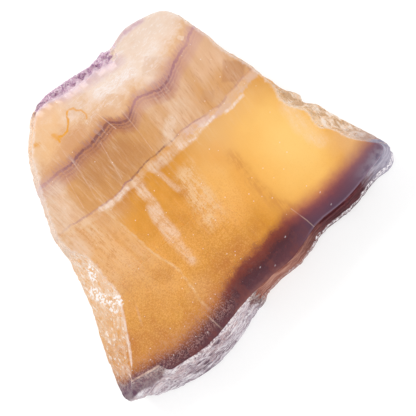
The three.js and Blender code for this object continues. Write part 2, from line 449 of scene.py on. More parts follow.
def skin(reach, height):
    """Joins rings of reach and height into a closed surface about the upright axis: a quad between
    each two stations of neighbouring rings, and a fan of triangles at each end."""
    grid = np.dstack([reach * ray[:, 0], reach * ray[:, 1], height]).reshape(-1, 3)
    middles = [[0.0, 0.0, slab_thickness], [0.0, 0.0, 0.0]]
    here = np.arange(stations)
    there = (here + 1) % stations
    first = (np.arange(len(reach) - 1) * stations)[:, None]
    quads = np.dstack([first + here, first + stations + here, first + stations + there, first + there])
    last = (len(reach) - 1) * stations
    top_fan = np.stack([np.full(stations, len(grid)), here, there], axis=1)
    bottom_fan = np.stack([np.full(stations, len(grid) + 1), last + there, last + here], axis=1)
    faces = quads.reshape(-1, 4).tolist() + top_fan.tolist() + bottom_fan.tolist()
    return np.vstack([grid, middles]) * MM, faces


parts = [
    face_rows(rows_of(face_rings) ** face_ring_crowding),
    lip_rows(rows_of(lip_rings)),
    flank_rows(rows_of(flank_rings)),
]
parts.append(back_rows(rows_of(back_rings, 1.0, 0.0)[:-1], parts[-1][0][-1]))
reach = np.vstack([part[0] for part in parts])
height = np.vstack([part[1] for part in parts])
points, faces = skin(reach, height)
mesh = bpy.data.meshes.new("fluorite_slab_stone")
mesh.from_pydata(points.tolist(), [], faces, shade_flat=False)
sharpest_smooth = math.radians(28)
mesh.set_sharp_from_angle(angle=sharpest_smooth)
stone = bpy.data.objects.new("fluorite_slab_stone", mesh)
bpy.context.scene.collection.objects.link(stone)

# Which finish each face of the mesh takes. The clear edge ends in a zigzag towards its neighbours:
# each of its folds is a share, the height that it climbs in one fold, and its count round the rim.
zigzag_folds = [(0.25, 3.3, 40), (0.15, 1.3, -60)]
polished, clear_edge, broken_rim, sawn = range(4)
finish = np.full((len(reach) - 1, stations), broken_rim)
zigzag = sum(share * fold(height[1:] / climb + count * around) for share, climb, count in zigzag_folds)
finish[zone["clear"] + zigzag > 0.5] = clear_edge
finish[:face_rings - 1] = polished
finish[len(reach) - back_rings:] = sawn
finish = np.concatenate([finish.ravel(), np.full(stations, polished), np.full(stations, sawn)])
mesh.polygons.foreach_set("material_index", finish.astype(np.int32))


def keep(name, values):
    """Keeps a value for every point of the rings as an attribute of the mesh, for the finishes to
    read. The two middle points take 0."""
    attribute = mesh.attributes.new(name, "FLOAT", "POINT")
    padded = np.concatenate([values.ravel(), [0.0, 0.0]])
    attribute.data.foreach_set("value", padded.astype(np.float32))


# How much of each stretch of the rim a point belongs to, how far down the lip it lies from 0 to 1,
# and how far in from the face's edge, in mm.
row_number = np.arange(len(reach))[:, None]
not_back = row_number < face_rings + lip_rings + flank_rings
border_ease = 9.0
for name in ("skirt", "chipped", "druzy", "cleaved"):
    start, end = stretches[name][:2]
    inside = 0.5 - beyond(start, end) / (2 * border_ease)
    keep(name, not_back * np.clip(inside, 0.0, 1.0))
keep("past_edge", np.clip((row_number - (face_rings - 1)) / lip_rings, 0.0, 1.0) + 0 * reach)
keep("in_from_edge", np.where(row_number < face_rings, face_reach - reach, 0.0))


# ---- Growth layers ----
# The crystal grew from its purple base towards the druzy crust, in layers that stand upright in
# the slab: smoky purple, clear amber, a thin purple line, tan with fine fibres, a wavy purple
# band and a cream cap. Their edges are followed as heights in Y along X, in millimetres.

reach_mm = 40.0

wavy_band = [
    (-26.0, 18.4), (-23.2, 18.2), (-20.1, 17.7), (-18.2, 17.8), (-15.0, 17.3), (-13.2, 17.6), (-10.9, 17.7),
    (-8.6, 17.5), (-6.9, 17.7), (-5.6, 17.9), (-4.2, 18.3), (-2.9, 18.4), (-1.8, 17.5), (-0.7, 16.6),
    (0.9, 15.95), (2.1, 16.5), (3.6, 17.4), (5.1, 17.9), (6.6, 17.5), (8.6, 16.5), (10.7, 15.9),
    (12.7, 16.2), (14.2, 17.0), (15.6, 17.9), (17.1, 18.4), (19.5, 19.1), (21.6, 19.9), (23.6, 20.9),
]
thin_line = [
    (-26.8, 6.6), (-23.8, 6.6), (-20.8, 6.1), (-17.9, 5.4), (-14.4, 5.0), (-10.9, 4.7), (-8.5, 5.1),
    (-6.4, 4.9), (-3.3, 5.4), (-1.5, 5.5), (0.9, 5.2), (3.1, 5.2), (7.4, 5.1), (10.5, 5.0), (13.2, 4.3),
    (16.0, 3.7), (18.5, 3.8), (21.3, 4.3), (23.7, 4.5), (27.8, 4.9),
]

# How pale the wavy band is along X, in tenths.
band_paleness = [
    (-26.0, 10.0), (-22.0, 9.0), (-18.0, 5.0), (-14.0, 2.5), (-11.0, 0.5), (-1.0, 0.0), (2.0, 2.0),
    (4.5, 8.0), (6.5, 7.0), (8.5, 4.0), (11.0, 3.0), (14.0, 5.5), (17.0, 7.0), (22.0, 10.0),
]
# Where the smoky base begins.
smoky_start = [
    (-38.0, -23.5), (-33.2, -25.8), (-29.8, -26.6), (-24.9, -27.4), (-20.2, -28.4), (-14.2, -27.8),
    (-8.2, -27.1), (-1.7, -25.6), (4.6, -25.5), (11.4, -24.6), (16.9, -24.8), (20.0, -24.9), (25.0, -24.8),
    (28.0, -24.6), (31.0, -24.4), (38.0, -23.5),
]

# Down the stone, each of these is a place in X at a height in Y.
milky_edge = [
    (-24.0, -11.6), (-18.0, -11.4), (-15.7, -11.7), (-9.1, -13.4), (-3.2, -14.1), (2.7, -15.1), (6.0, -15.6),
]
white_veil = [
    (-24.0, -8.0), (-19.3, -7.8), (-15.0, -8.1), (-11.0, -7.9), (-7.6, -7.9), (-4.4, -7.6), (-1.6, -6.6),
    (1.6, -6.7), (4.5, -6.1),
]
haze_veil = [(-22.0, 0.6), (-18.3, 0.8), (-13.4, 1.3), (-7.3, 1.9), (-3.8, 2.3), (0.9, 3.9), (4.5, 4.6)]
brown_veil = [(-24.5, 14.1), (-20.3, 12.6), (-14.5, 12.0), (-6.2, 12.1), (0.0, 11.0)]


def srgb(red, green, blue):
    """A colour given as 8-bit screen values, as the linear values that shaders take."""
    shares = np.array([red, green, blue]) / 255.0
    linear = np.where(shares <= 0.04045, shares / 12.92, ((shares + 0.055) / 1.055) ** 2.4)
    return (*linear.tolist(), 1.0)


def add(kind, sockets=None, **settings):
    """Adds a node to `tree`, the group or material that is being built. A socket given a number
    or a colour keeps it, and one given another node's socket is linked to it."""
    made = tree.nodes.new(kind)
    for name, value in settings.items():
        setattr(made, name, value)
    for place, value in (sockets or {}).items():
        if isinstance(value, bpy.types.NodeSocket):
            tree.links.new(value, made.inputs[place])
        else:
            made.inputs[place].default_value = value
    return made


def maths(operation, a, b=0.0, c=0.0):
    """The result of a Math node on a and b, and on c where it takes three."""
    return add("ShaderNodeMath", {0: a, 1: b, 2: c}, operation=operation).outputs[0]


# a plus b; a less b; the larger of a and b; and a times b, plus c.
plus = partial(maths, "ADD")
minus = partial(maths, "SUBTRACT")
larger = partial(maths, "MAXIMUM")
times_plus = partial(maths, "MULTIPLY_ADD")


def roughen(value, noise, depth):
    """A value made ragged by noise: the value plus depth times how far the noise is past 0.5."""
    return times_plus(minus(noise, 0.5), depth, value)


def vector_maths(operation, a, b, output=0):
    """The result of a Vector Math node on a and b, where b may be a number to scale by."""
    place = 3 if operation == "SCALE" else 1
    return add("ShaderNodeVectorMath", {0: a, place: b}, operation=operation).outputs[output]


def stretch(place, *shares):
    """A place whose X, Y and Z are each multiplied by a share of their own."""
    return vector_maths("MULTIPLY", place, shares)


def axes(place):
    """The X, Y and Z of a place."""
    return add("ShaderNodeSeparateXYZ", {0: place}).outputs


def vector(x, y, z=0.0):
    """The place at X, Y and Z."""
    return add("ShaderNodeCombineXYZ", {0: x, 1: y, 2: z}).outputs[0]


def place_in_mm():
    """Where a point of the stone is, in millimetres."""
    return vector_maths("SCALE", add("ShaderNodeTexCoord").outputs["Object"], 1 / MM)


def times(*values):
    """The product of two or more values."""
    product = values[0]
    for value in values[1:]:
        product = maths("MULTIPLY", product, value)
    return product


def span(value, low, high, to_low=0.0, to_high=1.0, eased=True):
    """Goes from to_low, where the value is low, to to_high, where it is high, eased or straight."""
    if not eased:
        value = maths("MINIMUM", larger(value, min(low, high)), max(low, high))
    places = {"Value": value, "From Min": low, "From Max": high, "To Min": to_low, "To Max": to_high}
    kind = "SMOOTHSTEP" if eased else "LINEAR"
    made = add("ShaderNodeMapRange", places, interpolation_type=kind, clamp=False)
    return made.outputs["Result"]


def between(value, low, high, ease):
    """1 where the value lies between low and high, easing to 0 outside them."""
    return times(span(value, low - ease, low), span(value, high, high + ease, 1.0, 0.0))


def paint(mask, under, over):
    """The colour `under`, painted over with `over` where the mask is 1."""
    return add("ShaderNodeMix", {0: mask, 6: under, 7: over}, data_type="RGBA").outputs[2]


def cloud(vector, scale, detail=3.0, roughness=0.5, distortion=0.0):
    """Soft noise, mostly between 0.3 and 0.7."""
    places = {
        "Vector": vector, "Scale": scale, "Detail": detail,
        "Roughness": roughness, "Distortion": distortion,
    }
    return add("ShaderNodeTexNoise", places).outputs["Fac"]


def cells(vector, scale, metric="EUCLIDEAN"):
    """A random number for each cell of a Voronoi pattern."""
    places = {"Vector": vector, "Scale": scale}
    made = add("ShaderNodeTexVoronoi", places, distance=metric)
    return add("ShaderNodeSeparateColor", {0: made.outputs["Color"]}).outputs[0]


def dots(vector, scale, radius, share):
    """1 inside small round dots, which sit in a share of the cells of a Voronoi pattern."""
    made = add("ShaderNodeTexVoronoi", {"Vector": vector, "Scale": scale})
    number = add("ShaderNodeSeparateColor", {0: made.outputs["Color"]}).outputs[0]
    inside = span(made.outputs["Distance"], radius, 0.5 * radius)
    return times(inside, span(number, 1.0 - share, 1.0 - 0.98 * share))


def ramp(value, stops):
    """A colour read from (place, colour) stops."""
    made = add("ShaderNodeValToRGB", {"Fac": value})
    elements = made.color_ramp.elements
    for place, colour in stops[1:-1]:
        elements.new(place).color = colour
    for element, (place, colour) in zip((elements[0], elements[-1]), (stops[0], stops[-1])):
        element.position = place
        element.color = colour
    return made.outputs["Color"]


def follow(value, points):
    """Follows a line through the points: for each value of one coordinate, the other one, both
    in mm between -reach_mm and reach_mm."""
    share = span(value, -reach_mm, reach_mm, eased=False)
    made = add("ShaderNodeFloatCurve", {"Factor": 1.0, "Value": share})
    curve = made.mapping.curves[0]
    for x, y in points:
        curve.points.new(0.5 + x / reach_mm / 2, 0.5 + y / reach_mm / 2)
    curve.points[0].location = (0.0, 0.5 + points[0][1] / reach_mm / 2)
    curve.points[len(curve.points) - 1].location = (1.0, 0.5 + points[-1][1] / reach_mm / 2)
    made.mapping.update()
    return times_plus(made.outputs[0], 2 * reach_mm, -reach_mm)


def stroke(flat_place, start, end, half_width, ease):
    """1 within half_width of the straight line from start to end, easing to 0 beyond it. The
    distance is taken to the nearest point of the line, found by the share of the way along it."""
    start, end = np.array([*start, 0.0]), np.array([*end, 0.0])
    way = end - start
    from_start = vector_maths("SUBTRACT", flat_place, tuple(start))
    share = vector_maths("DOT_PRODUCT", from_start, tuple(way / (way @ way)), "Value")
    share = span(share, 0.0, 1.0, eased=False)
    on_line = add("ShaderNodeVectorMath", {0: tuple(way), 3: share}, operation="SCALE").outputs[0]
    distance = vector_maths("DISTANCE", from_start, on_line, "Value")
    return span(distance, half_width, half_width + ease, 1.0, 0.0)


def strokes(flat_place, marks):
    """The strongest of several strokes. Each mark is its points, half width, ease and strength."""
    total = None
    for points, half_width, ease, strength in marks:
        for start, end in zip(points, points[1:]):
            mark = times(stroke(flat_place, start, end, half_width, ease), strength)
            total = mark if total is None else larger(total, mark)
    return total


# Marks seen through the face, in millimetres of X and Y. Each is a run of points, then its half
# width, how softly it ends, and its strength.
iron_stain = [
    ([(-13.6, 23.0), (-13.2, 24.2), (-12.4, 23.4), (-10.9, 23.6), (-9.6, 24.8), (-8.9, 26.0), (-8.1, 27.0)],
     0.10, 0.32, 1.0),
    ([(-8.1, 27.0), (-7.4, 27.1), (-6.7, 26.6), (-6.4, 25.6), (-5.6, 24.9), (-5.2, 23.6), (-5.8, 22.6)],
     0.06, 0.3, 0.75),
    ([(-13.8, 25.0), (-13.2, 23.6)], 0.25, 0.6, 0.75),
    ([(-18.2, 26.4), (-17.6, 25.9)], 0.15, 0.7, 0.75),
]
orange_tint = [([(-11.5, 30.6), (-17.0, 25.0)], 1.5, 4.5, 0.75)]
cream_patches = [
    ([(7.6, 8.6), (4.6, 5.6)], 0.7, 1.3, 0.75),
    ([(11.0, 9.5), (9.0, 7.0)], 0.8, 2.2, 0.25),
    ([(-21.0, 15.0), (-25.0, 8.0)], 0.8, 3.0, 0.6),
    ([(-25.4, 4.0), (-24.8, 0.0)], 0.8, 2.4, 0.6),
    ([(-1.5, 3.6), (2.0, 3.0), (6.0, 3.4)], 0.4, 1.4, 0.6),
    ([(-21.5, 23.0), (-22.6, 20.6)], 0.6, 1.5, 0.7),
]
cloudy_white = [
    ([(-6.2, 3.6), (-6.7, 1.6), (-6.4, -1.6)], 0.4, 1.1, 0.5),
    ([(-7.1, -3.0), (-7.6, -7.0), (-7.8, -11.0)], 0.8, 1.2, 0.55),
    ([(-7.8, -11.0), (-8.0, -17.5)], 0.2, 1.2, 0.4),
    ([(20.6, 21.7), (21.0, 21.2)], 0.35, 0.3, 0.9),
    ([(-15.7, 4.6), (-13.2, 4.0), (-8.9, 4.0)], 0.35, 0.6, 0.85),
    ([(5.5, 2.6), (9.1, 2.3), (12.0, 2.7)], 0.3, 0.9, 0.6),
    ([(7.4, 2.5), (9.0, 2.0)], 0.15, 0.35, 0.9),
    ([(12.4, 2.5), (14.8, 2.6)], 0.12, 0.35, 1.0),
    ([(17.3, 1.5), (22.1, 1.7)], 0.15, 0.5, 0.9),
    ([(-2.2, 3.4), (-1.3, 0.0), (-0.7, -4.0)], 0.2, 0.8, 0.4),
    ([(27.4, -6.5), (26.9, -12.0), (27.6, -17.0)], 0.3, 2.2, 0.4),
]
white_fleece = [
    ([(-0.2, 25.0), (2.6, 24.4), (5.5, 24.0), (8.2, 23.4)], 0.5, 1.7, 1.0),
    ([(0.5, 27.2), (3.0, 26.6), (9.0, 25.2)], 0.3, 2.0, 0.5),
    ([(12.0, 23.6), (15.5, 24.2)], 0.2, 1.6, 0.6),
    ([(-13.6, 29.2), (-12.4, 28.6)], 0.3, 0.9, 0.9),
    ([(-6.0, 21.8), (-2.0, 22.6)], 0.2, 1.0, 0.35),
]
fine_cracks = [
    ([(-3.4, 21.5), (-2.4, 16.0)], 0.03, 0.14, 0.45),
    ([(1.1, 18.5), (0.9, 12.0), (0.6, 6.4)], 0.03, 0.16, 0.35),
    ([(-14.1, 17.3), (-14.6, 12.0), (-15.2, 7.0)], 0.03, 0.18, 0.3),
    ([(-17.4, 15.5), (-18.6, 7.5)], 0.03, 0.15, 0.28),
    ([(-6.9, 16.0), (-8.4, 6.5)], 0.03, 0.15, 0.3),
    ([(14.1, -23.6), (14.9, -27.6), (15.3, -31.5)], 0.03, 0.12, 0.35),
    ([(-12.7, -28.6), (-12.2, -32.5)], 0.05, 0.2, 0.3),
    ([(-24.5, -12.8), (-26.4, -16.9), (-28.9, -21.2), (-31.3, -25.3)], 0.08, 0.3, 1.0),
    ([(-33.1, -26.0), (-33.1, -28.0), (-30.1, -28.7), (-26.9, -29.4)], 0.06, 0.25, 0.9),
    ([(-22.9, -16.7), (-24.4, -20.6)], 0.05, 0.35, 0.18),
]
# Painted highlights: small white glints in the smoky base, each a short run.
painted_speck_glints = [
    ([(x, y), (x + 0.2, y + 0.1)], 0.02, 0.13, strength)
    for x, y, strength in (
        (9.4, -27.2, 0.6), (4.1, -30.2, 0.4), (1.6, -28.4, 0.5), (20.5, -25.2, 0.5), (20.5, -28.6, 0.35),
    )
]
brown_patches = [
    ([(-12.5, 12.5), (-5.0, 11.5)], 1.5, 3.5, 0.7),
    ([(-8.0, 8.0), (-2.0, 8.5)], 1.0, 2.5, 0.5),
]
amber_patches = [
    ([(-15.6, -15.2), (-14.2, -16.2)], 0.5, 2.2, 0.55),
    ([(-20.0, -18.5), (-17.5, -20.0)], 0.8, 3.0, 0.35),
]
lilac_haze = [
    ([(8.9, 31.6), (12.5, 31.8), (17.0, 31.4)], 0.3, 1.3, 0.85),
    ([(-15.0, 30.5), (-8.0, 30.4), (2.0, 28.0), (8.0, 27.4)], 0.3, 1.8, 0.5),
]
# Painted highlights: where cleavage glints are painted white on the left bevel, in small square cells.
glints = [
    ([(-25.7, -3.2), (-26.4, -5.0)], 0.8, 0.6, 1.0),
    ([(-28.6, -7.2), (-28.2, -9.4), (-26.4, -11.8), (-24.9, -13.4)], 0.7, 0.7, 1.0),
    ([(-27.6, -12.6), (-27.0, -14.4)], 0.4, 0.5, 0.8),
]

layers = bpy.data.node_groups.new("growth_layers", "ShaderNodeTree")
for socket in ("Fibres", "Frost"):
    layers.interface.new_socket(socket, in_out="INPUT", socket_type="NodeSocketFloat")
layers.interface.new_socket("Color", in_out="OUTPUT", socket_type="NodeSocketColor")
for socket in ("Sugar", "Smoke", "Painted Glints"):
    layers.interface.new_socket(socket, in_out="OUTPUT", socket_type="NodeSocketFloat")

tree = layers
entry = add("NodeGroupInput").outputs
leave = add("NodeGroupOutput").inputs
in_mm = place_in_mm()
wander = add("ShaderNodeTexNoise", {"Vector": in_mm, "Scale": 0.33, "Detail": 4.0, "Roughness": 0.6})
wander = vector_maths("SUBTRACT", wander.outputs["Color"], (0.5, 0.5, 0.5))
bent = vector_maths("ADD", in_mm, vector_maths("SCALE", wander, 1.3))
x, y, z = axes(bent)
flat_place = vector(x, y)

# Crystal fibres run along the growth direction and spread a little as they go.
straight = axes(in_mm)
between_bends = times(plus(straight[0], x), 0.5)
spread = maths("DIVIDE", between_bends, times_plus(y, 0.006, 1.0))
along_fibre = vector(spread, times(y, 0.10), times(z, 0.3))
fine_fibres = cloud(along_fibre, 2.6, 4.0, 0.65)
broad_fibres = cloud(along_fibre, 0.38, 4.0, 0.55)
clouds = cloud(in_mm, 0.085, 4.0, 0.55)
mottle = cloud(in_mm, 0.5, 5.0, 0.65)
grain = cloud(in_mm, 3.6, 2.0, 0.75)
panels = cells(stretch(bent, 1.0, 0.45, 0.6), 0.17)

above_wave = minus(y, follow(x, wavy_band))
above_thin = roughen(minus(y, follow(x, thin_line)), broad_fibres, 0.5)
below_smoky = minus(follow(x, smoky_start), y)

# Clear amber, deepest in the middle, with a painted glow of light shining through, yellow towards the right.
# Each painted glow is its centre, its squash in X and Y, the distances it fades between, its strength and its
# colour.
depth = times_plus(clouds, 1.0, span(y, 4.0, -9.0, -0.20, -0.06))
depth = plus(depth, span(y, -15.0, -26.0, 0.0, -0.24))
depth = times_plus(broad_fibres, 0.3, minus(depth, 0.10))
colour = ramp(depth, [
    (0.14, srgb(188, 106, 12)), (0.38, srgb(218, 146, 34)), (0.56, srgb(236, 164, 62)),
    (0.80, srgb(242, 182, 104)),
])
for centre, squash, low, high, strength, shade in (
    ((-16.5, 1.0, 0.0), (0.7, 1.0, 0.0), 1.0, 6.0, 0.5, srgb(228, 176, 118)),
    ((6.5, -9.5, 0.0), (1.0, 0.5, 0.0), 1.0, 6.5, 0.8, srgb(250, 190, 102)),
    ((17.0, 0.0, 0.0), (0.6, 0.8, 0.0), 2.0, 10.0, 0.8, srgb(241, 190, 122)),
    ((21.5, -14.5, 0.0), (0.9, 0.7, 0.0), 4.0, 14.0, 1.0, srgb(253, 194, 98)),
    ((23.0, -12.0, 0.0), (1.0, 0.7, 0.0), 1.0, 9.5, 0.85, srgb(255, 211, 124)),
    ((32.5, -21.0, 0.0), (1.0, 1.0, 0.0), 1.0, 7.0, 0.7, srgb(238, 188, 130)),
    ((-11.0, -22.5, 0.0), (1.0, 1.0, 0.0), 0.5, 5.0, 0.5, srgb(240, 182, 110)),
):
    off = vector_maths("MULTIPLY", vector_maths("SUBTRACT", flat_place, centre), squash)
    off = vector_maths("LENGTH", off, (0.0, 0.0, 0.0), "Value")
    off = roughen(off, clouds, 8.0)
    colour = paint(span(off, low, high, strength, 0.0), colour, shade)

# A milky sheet fills the left side and ends in a sharp fold, with a painted highlight along it.
past_fold = minus(follow(y, milky_edge), x)
sheet = times(
    span(past_fold, -0.4, 0.9), span(past_fold, 1.0, 10.0, 0.55, 0.95),
    span(broad_fibres, 0.3, 0.65, 0.6, 1.0), span(y, -10.0, -20.0, 1.0, 0.22),
)
sheet_colour = paint(span(y, -7.0, -15.0), srgb(237, 190, 140), srgb(218, 160, 90))
colour = paint(sheet, colour, sheet_colour)
granular = plus(times_plus(grain, 0.5, mottle), fine_fibres)
colour = paint(times(sheet, span(granular, 1.26, 1.02), 0.8), colour, srgb(206, 138, 70))
painted_fold_glint = times(between(past_fold, 0.0, 0.1, 0.4), span(mottle, 0.38, 0.6, 0.15, 0.6))
colour = paint(painted_fold_glint, colour, srgb(240, 205, 160))

# Granular veils hang down from the thin line. Each is its path, its half width, how softly it
# ends, its foot and its top in Y, its strength and its colour.
for path, half_width, ease, low, high, strength, shade in (
    (haze_veil, 1.2, 2.6, -14.0, -2.5, 0.95, srgb(242, 200, 150)),
    (brown_veil, 0.3, 1.8, -24.0, -7.0, 0.5, srgb(202, 128, 52)),
    (white_veil, 0.6, 1.4, -17.0, 3.5, 0.5, srgb(240, 194, 144)),
):
    off = maths("ABSOLUTE", minus(x, follow(y, path)))
    veil = times(
        span(off, half_width, half_width + ease, 1.0, 0.0), between(y, low, high, 3.0),
        span(granular, 1.08, 1.42, 0.15 * strength, strength),
    )
    colour = paint(veil, colour, shade)

# A pale fringe under the thin line.
fringe = times(
    between(above_thin, -1.5, -0.4, 0.8), span(plus(broad_fibres, mottle), 0.85, 1.15, 0.15, 0.65),
)
colour = paint(fringe, colour, srgb(236, 200, 165))

# Tan fluorite with fine fibres, deepest left of the middle.
tan_tone = times_plus(broad_fibres, 0.7, times(clouds, 0.3))
tan_tone = plus(tan_tone, span(x, -4.0, 8.0, -0.18, 0.08))
tan_tone = plus(tan_tone, span(x, -14.0, -24.0, 0.0, 0.3))
tan_tone = plus(tan_tone, times(span(y, 8.0, 12.0, -0.08, 0.14), span(x, 14.0, 19.0)))
tan = ramp(tan_tone, [
    (0.20, srgb(202, 141, 74)), (0.38, srgb(216, 158, 94)), (0.55, srgb(222, 173, 125)),
    (0.75, srgb(232, 188, 150)),
])
colour = paint(span(above_thin, -0.1, 0.25), colour, tan)

# The cap is tan near the band on the left, and cream above it, in panels of differing tone.
tan_left = times(span(x, 3.0, -5.0), span(x, -18.0, -12.0), span(above_wave, 11.0, 5.0, -0.02, -0.2))
cap_tone = plus(times_plus(mottle, 0.6, times(clouds, 0.3)), tan_left)
cap_tone = plus(cap_tone, span(x, -14.0, 6.0, -0.09, 0.09))
cap_tone = plus(cap_tone, span(above_wave, 1.0, 8.0, -0.20, 0.14))
cap_tone = times_plus(panels, 0.12, cap_tone)
cap = ramp(cap_tone, [
    (0.20, srgb(214, 158, 108)), (0.38, srgb(231, 186, 142)), (0.55, srgb(240, 209, 184)),
    (0.72, srgb(243, 219, 199)),
])
colour = paint(span(above_wave, 0.2, 2.6), colour, cap)
# Flat facets inside, each a diamond: its centre, its half width, the heights above the band that
# it starts between, its strength and its colour.
for centre, reach_out, low, high, strength, shade in (
    ((0.0, 20.6, 0.0), 4.4, 0.0, 1.5, 0.6, srgb(224, 176, 130)),
    ((12.2, 21.0, 0.0), 3.4, 0.0, 1.5, 0.5, srgb(222, 186, 160)),
    ((-6.0, 27.3, 0.0), 4.2, 0.0, 1.5, 0.4, srgb(220, 176, 138)),
    ((24.2, 7.2, 0.0), 3.9, -20.0, -19.0, 0.48, srgb(186, 128, 88)),
    ((16.8, 7.0, 0.0), 2.4, -20.0, -19.0, 0.35, srgb(200, 150, 112)),
):
    off = vector_maths("ABSOLUTE", vector_maths("SUBTRACT", flat_place, centre), (0.0, 0.0, 0.0))
    off = vector_maths("DOT_PRODUCT", off, (1.0, 1.0, 0.0), "Value")
    facet = times(span(off, reach_out, reach_out - 0.9), span(above_wave, low, high), strength)
    colour = paint(facet, colour, shade)

# White fleece and flecks in the cap, drawn out along the layers.
fleece_noise = cloud(stretch(bent, 0.45, 1.5, 1.0), 1.2, 5.0, 0.75, 0.8)
wisps = times(
    span(fleece_noise, 0.52, 0.60), span(above_wave, 1.5, 7.0, 0.0, 0.6),
    span(x, -12.0, 4.0, 0.2, 1.0),
)
flecks = cloud(stretch(bent, 1.0, 3.0, 2.0), 1.1, 4.0, 0.75, 0.5)
tufts = times_plus(span(flecks, 0.48, 0.54), 0.8, span(fleece_noise, 0.46, 0.54, 0.1, 0.45))
tufts = times(strokes(flat_place, white_fleece), tufts)
fleece = maths("MINIMUM", larger(tufts, wisps), 1.0)
colour = paint(fleece, colour, srgb(250, 241, 237))

# The wavy purple band: a dark line, two thinner ones under it, and a soft halo. It pales
# towards the left and turns mauve towards the right. Each line is its height above the band's
# middle, its half width, its strength and the share of it that is left at the band's ends.
pale = times(follow(x, band_paleness), 0.1)
band_colour = paint(pale, srgb(108, 46, 62), srgb(184, 130, 144))
wide_halo = times(
    between(above_wave, -0.5, 0.8, 3.2), between(x, 10.5, 14.0, 3.5),
    span(mottle, 0.35, 0.6, 0.55, 0.85),
)
colour = paint(wide_halo, colour, srgb(204, 158, 146))
halo = times(between(above_wave, -2.6, 0.3, 1.7), span(pale, 0.0, 1.0, 0.72, 0.5))
colour = paint(halo, colour, paint(pale, srgb(180, 112, 78), srgb(208, 160, 150)))
comb = times(
    between(above_wave, 0.0, 0.7, 1.8), span(fine_fibres, 0.46, 0.56, 0.0, 0.65),
    span(pale, 0.3, 0.7, 1.0, 0.5),
)
colour = paint(comb, colour, paint(pale, srgb(146, 88, 92), srgb(184, 132, 146)))
spiky = roughen(above_wave, fine_fibres, 1.1)
for offset, half_width, strength, at_ends in (
    (-0.2, 0.17, 0.88, 0.9), (-1.2, 0.08, 0.65, 0.5), (-2.0, 0.06, 0.45, 0.3),
):
    stripe = times(
        between(spiky, offset - half_width, offset + half_width, 0.42),
        span(mottle, 0.3, 0.6, 0.5 * strength, strength), span(pale, 0.0, 1.0, 1.0, at_ends),
    )
    colour = paint(stripe, colour, band_colour)

# The thin purple line.
off_middle = larger(span(x, -5.0, -9.0), span(x, 4.0, 8.0))
frayed = roughen(roughen(above_thin, mottle, 2.6), fine_fibres, 1.2)
lilac_white = times(
    between(frayed, -1.5, -0.5, 0.9), span(x, 4.0, 9.0), span(mottle, 0.36, 0.6, 0.3, 0.9),
)
colour = paint(
    lilac_white, colour, paint(between(x, 9.0, 15.0, 3.0), srgb(228, 188, 160), srgb(226, 190, 178)),
)
thin_stripe = times(
    between(above_thin, -0.06, 0.06, 0.32), span(off_middle, 0.0, 1.0, 1.0, 0.6),
    span(x, 11.0, 16.0, 1.0, 0.7), span(x, -24.0, -18.0, 0.8, 1.0),
    span(plus(mottle, broad_fibres), 0.8, 1.15, 0.3, 0.9),
)
colour = paint(thin_stripe, colour, paint(off_middle, srgb(112, 56, 66), srgb(160, 108, 132)))

# Patches, clouds and stains, each broken up by its own noise.
for marks, patchiness, shade in (
    (brown_patches, 0.85, srgb(188, 128, 76)),
    (amber_patches, 1.0, srgb(202, 130, 36)),
    (lilac_haze, span(mottle, 0.3, 0.65, 0.4, 1.0), srgb(208, 168, 186)),
    (orange_tint, 1.0, srgb(238, 186, 124)),
    (cream_patches, span(plus(mottle, fine_fibres), 0.8, 1.15, 0.4, 1.0), srgb(240, 212, 188)),
    (cloudy_white, span(granular, 1.05, 1.5, 0.35, 1.0), srgb(250, 230, 216)),
    (iron_stain, 1.0, srgb(230, 156, 10)),
):
    colour = paint(times(strokes(flat_place, marks), patchiness), colour, shade)

# Pale fibres over everything above the base.
streak = times(
    span(fine_fibres, 0.44, 0.74), entry["Fibres"],
    span(above_thin, span(x, -11.0, -17.0, -8.0, -24.0), 0.5, 0.12, 1.0),
    span(broad_fibres, 0.4, 0.6, 0.25, 1.0), span(x, 8.0, 15.0, 1.0, 0.45),
)
colour = paint(streak, colour, srgb(248, 226, 202))
dark_streak = times(
    span(fine_fibres, 0.46, 0.34), entry["Fibres"], between(above_thin, 0.5, 9.0, 2.0),
    span(x, -4.0, 6.0, 0.45, 0.85),
)
colour = paint(dark_streak, colour, srgb(176, 112, 66))

# The base is sugary: pale grains and darker pits in the amber, thickest on the left.
sugar = times(span(y, 0.0, -18.0, 0.15, 1.0), span(x, 14.0, 0.0, 0.12, 1.0))
colour = paint(times(span(grain, 0.50, 0.64), sugar, 0.5), colour, srgb(243, 186, 96))
colour = paint(times(span(grain, 0.50, 0.38), sugar, 0.55), colour, srgb(202, 124, 34))

# Smoky purple at the base, red-brown where it thins into the amber.
left_side = span(x, -4.0, -11.0)
right_side = span(x, 8.0, 18.0)
raggedness = roughen(times(minus(fine_fibres, 0.5), 0.8), grain, 2.2)
below = plus(below_smoky, times(raggedness, span(x, 6.0, 16.0, 1.0, 0.1)))
below = roughen(below, mottle, span(x, 4.0, 16.0, 2.4, 1.0))
smoke_end = plus(span(left_side, 0.0, 1.0, 0.4, 2.8), times(right_side, 1.4))
smoke_top = times_plus(right_side, -0.6, -2.1)
smoke = span(below, smoke_top, smoke_end)
middle_smoke = ramp(span(below, -2.2, 7.8, eased=False), [
    (0.0, srgb(150, 74, 34)), (0.20, srgb(131, 54, 34)), (0.32, srgb(114, 40, 26)), (0.40, srgb(94, 32, 30)),
    (0.47, srgb(74, 22, 34)), (0.58, srgb(82, 35, 46)), (0.70, srgb(94, 44, 54)), (1.0, srgb(110, 60, 68)),
])
right_smoke = ramp(span(below, -2.2, 7.8, eased=False), [
    (0.0, srgb(182, 92, 80)), (0.22, srgb(168, 84, 78)), (0.36, srgb(134, 66, 70)), (0.46, srgb(108, 54, 70)),
    (0.56, srgb(96, 54, 74)), (0.68, srgb(84, 54, 76)), (0.78, srgb(92, 60, 82)), (1.0, srgb(106, 74, 94)),
])
right_smoke = paint(span(x, 22.0, 33.0, 0.0, 0.55), right_smoke, srgb(124, 96, 116))
smoke_colour = paint(right_side, middle_smoke, right_smoke)
